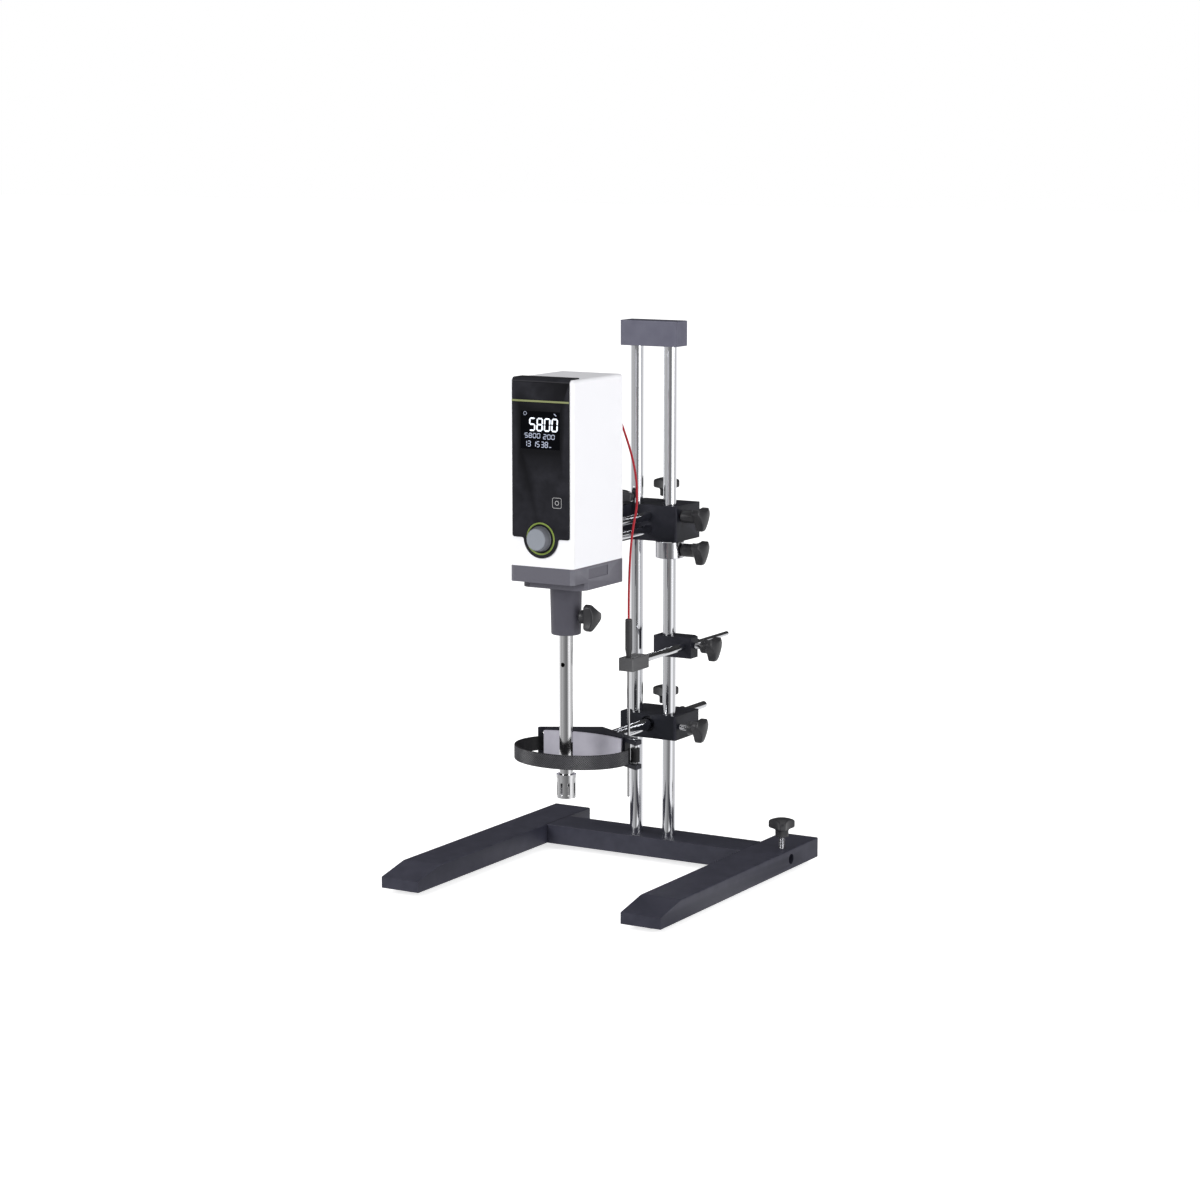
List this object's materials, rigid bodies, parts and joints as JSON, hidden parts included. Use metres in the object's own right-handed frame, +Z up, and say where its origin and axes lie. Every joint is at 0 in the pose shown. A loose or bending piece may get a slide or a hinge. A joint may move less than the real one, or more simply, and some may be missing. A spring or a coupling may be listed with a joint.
{
  "type": "laboratory homogenizer",
  "caption": "High-shear laboratory mixer on a double-column stand, with slotted dispersing head, strap vessel holder and clamped temperature probe.",
  "frame": {"origin": "on the bench, under the middle of the overall footprint", "axes": "+Z up along the columns, -Y towards the operator, +X to the operator's right"},
  "size_m": [0.422, 0.505, 0.7443],
  "materials": {
    "stand_paint": "satin dark slate paint on cast aluminium",
    "block_paint": "satin dark slate paint on cast aluminium",
    "grey_housing": "satin grey paint on cast aluminium",
    "column_chrome": "polished",
    "bright_steel": "fine brushed",
    "inner_steel": "plain",
    "fastener_steel": "black oxide",
    "plate_aluminium": "milled",
    "foot_rubber": "matte",
    "knob_plastic": "fine moulded grain",
    "white_plastic": "smooth white",
    "panel_plastic": "smooth black",
    "display_plastic": "polished window",
    "accent_plastic": "yellow-green",
    "dial_plastic": "silver lacquer",
    "dial_metal": "satin",
    "board_plastic": "circuit board",
    "inner_plastic": "black",
    "standoff_brass": "turned",
    "bush_plastic": "white low-friction plastic",
    "liner_rubber": "soft pale pad",
    "strap_rubber": "diamond-textured",
    "cable_red": "smooth sleeve"
  },
  "bodies": {
    "stand": {"left_leg": "stand_paint", "right_leg": "stand_paint", "crossbar": "stand_paint", "rubber_feet": "foot_rubber", "left_column": "column_chrome", "right_column": "column_chrome", "column_bolts": "fastener_steel", "top_cap": "stand_paint", "cap_grub_screws": "fastener_steel"},
    "leg_clamp": {"leg_knob": "knob_plastic"},
    "ring": {"stop_ring": "bright_steel"},
    "ring_clamp": {"stop_knob": "knob_plastic"},
    "drive_block": {"upper_block": "block_paint"},
    "upper_side_clamp": {"upper_side_knob": "knob_plastic"},
    "upper_top_clamp": {"upper_top_knob": "knob_plastic"},
    "lug_clamp": {"lug_knob": "knob_plastic"},
    "drive": {"drive_rods": "bright_steel", "rod_plate": "plate_aluminium", "white_housing": "white_plastic", "front_panel": "panel_plastic", "display_window": "display_plastic", "accent_line": "accent_plastic", "dial_ring": "accent_plastic", "encoder": "inner_plastic", "lower_housing": "grey_housing", "tool_collar": "grey_housing", "motor": "inner_steel", "motor_plate": "plate_aluminium", "spindle_bearings": "inner_steel", "control_board": "board_plastic", "board_standoffs": "standoff_brass", "probe_socket": "inner_plastic"},
    "dial": {"control_knob": "dial_plastic", "dial_face": "dial_metal"},
    "drive_spindle": {"spindle": "bright_steel"},
    "tool_clamp": {"tool_knob": "knob_plastic"},
    "tool": {"shaft_tube": "bright_steel", "stator": "bright_steel", "tube_bushes": "bush_plastic"},
    "tool_rotor": {"inner_shaft": "bright_steel", "rotor": "bright_steel"},
    "probe_head": {"boss_head": "block_paint", "boss_grub_screw": "fastener_steel"},
    "head_clamp": {"boss_knob": "knob_plastic"},
    "probe_arm": {"probe_rod": "column_chrome", "probe_clip": "block_paint"},
    "probe": {"probe_handle": "inner_plastic", "probe_stem": "bright_steel", "probe_cable": "cable_red"},
    "vessel_block": {"lower_block": "block_paint"},
    "lower_side_clamp": {"lower_side_knob": "knob_plastic"},
    "lower_top_clamp": {"lower_top_knob": "knob_plastic"},
    "vessel_holder": {"vessel_rod": "column_chrome", "vessel_jaw": "block_paint", "jaw_liner": "liner_rubber", "strap": "strap_rubber", "strap_pin": "bright_steel"}
  },
  "joints": [
    {"name": "stop_ring_slide", "type": "slide", "parent": "stand", "child": "ring", "axis": [0, 0, 1], "range_m": [-0.05, 0], "deforming": ["probe_cable"]},
    {"name": "drive_lift", "type": "slide", "parent": "ring", "child": "drive_block", "axis": [0, 0, 1], "range_m": [0, 0.16], "deforming": ["probe_cable"]},
    {"name": "drive_reach", "type": "slide", "parent": "drive_block", "child": "drive", "axis": [0, 1, 0], "range_m": [-0.015, 0.015], "deforming": ["probe_cable"]},
    {"name": "dial_turn", "type": "hinge", "parent": "drive", "child": "dial", "pos_m": [0, -0.19, 0.481], "axis": [0, -1, 0], "continuous": true},
    {"name": "spindle_spin", "type": "hinge", "parent": "drive", "child": "drive_spindle", "pos_m": [0, -0.129, 0.42], "axis": [0, 0, 1], "continuous": true},
    {"name": "tool_slide", "type": "slide", "parent": "drive", "child": "tool", "axis": [0, 0, 1], "range_m": [-0.06, 0]},
    {"name": "rotor_slide", "type": "slide", "parent": "drive_spindle", "child": "tool_rotor", "axis": [0, 0, 1], "range_m": [-0.06, 0]},
    {"name": "boss_slide", "type": "slide", "parent": "stand", "child": "probe_head", "axis": [0, 0, 1], "range_m": [-0.03, 0.02], "deforming": ["probe_cable"]},
    {"name": "probe_rod_slide", "type": "slide", "parent": "probe_head", "child": "probe_arm", "axis": [0, 1, 0], "range_m": [0, 0.08], "deforming": ["probe_cable"]},
    {"name": "probe_lift", "type": "slide", "parent": "probe_arm", "child": "probe", "axis": [0, 0, 1], "range_m": [0, 0.045], "deforming": ["probe_cable"]},
    {"name": "lower_block_slide", "type": "slide", "parent": "stand", "child": "vessel_block", "axis": [0, 0, 1], "range_m": [-0.1, 0.03]},
    {"name": "vessel_rod_slide", "type": "slide", "parent": "vessel_block", "child": "vessel_holder", "axis": [0, 1, 0], "range_m": [-0.02, 0]},
    {"name": "leg_knob_turn", "type": "hinge", "parent": "stand", "child": "leg_clamp", "pos_m": [0.1965, 0.1115, 0.035], "axis": [0, 0, 1], "range_deg": [0, 360]},
    {"name": "stop_knob_turn", "type": "hinge", "parent": "ring", "child": "ring_clamp", "pos_m": [0.0452, 0.1035, 0.434], "axis": [1, 0, 0], "range_deg": [0, 360]},
    {"name": "upper_side_knob_turn", "type": "hinge", "parent": "drive_block", "child": "upper_side_clamp", "pos_m": [0.044, 0.1035, 0.48], "axis": [1, 0, 0], "range_deg": [0, 360]},
    {"name": "upper_top_knob_turn", "type": "hinge", "parent": "drive_block", "child": "upper_top_clamp", "pos_m": [0, 0.1405, 0.4945], "axis": [0, 0, 1], "range_deg": [0, 360]},
    {"name": "lug_knob_turn", "type": "hinge", "parent": "drive_block", "child": "lug_clamp", "pos_m": [-0.035, 0.0735, 0.4945], "axis": [0, 0, 1], "range_deg": [0, 360]},
    {"name": "tool_knob_turn", "type": "hinge", "parent": "drive", "child": "tool_clamp", "pos_m": [0.0195, -0.129, 0.373], "axis": [1, 0, 0], "range_deg": [0, 360]},
    {"name": "boss_knob_turn", "type": "hinge", "parent": "probe_head", "child": "head_clamp", "pos_m": [0.067, 0.1035, 0.3035], "axis": [1, 0, 0], "range_deg": [0, 360]},
    {"name": "lower_side_knob_turn", "type": "hinge", "parent": "vessel_block", "child": "lower_side_clamp", "pos_m": [0.044, 0.1035, 0.1885], "axis": [1, 0, 0], "range_deg": [0, 360]},
    {"name": "lower_top_knob_turn", "type": "hinge", "parent": "vessel_block", "child": "lower_top_clamp", "pos_m": [0, 0.1405, 0.205], "axis": [0, 0, 1], "range_deg": [0, 360]}
  ],
  "couplings": [
    {"joint": "rotor_slide", "follows": "tool_slide", "ratio": 1}
  ]
}
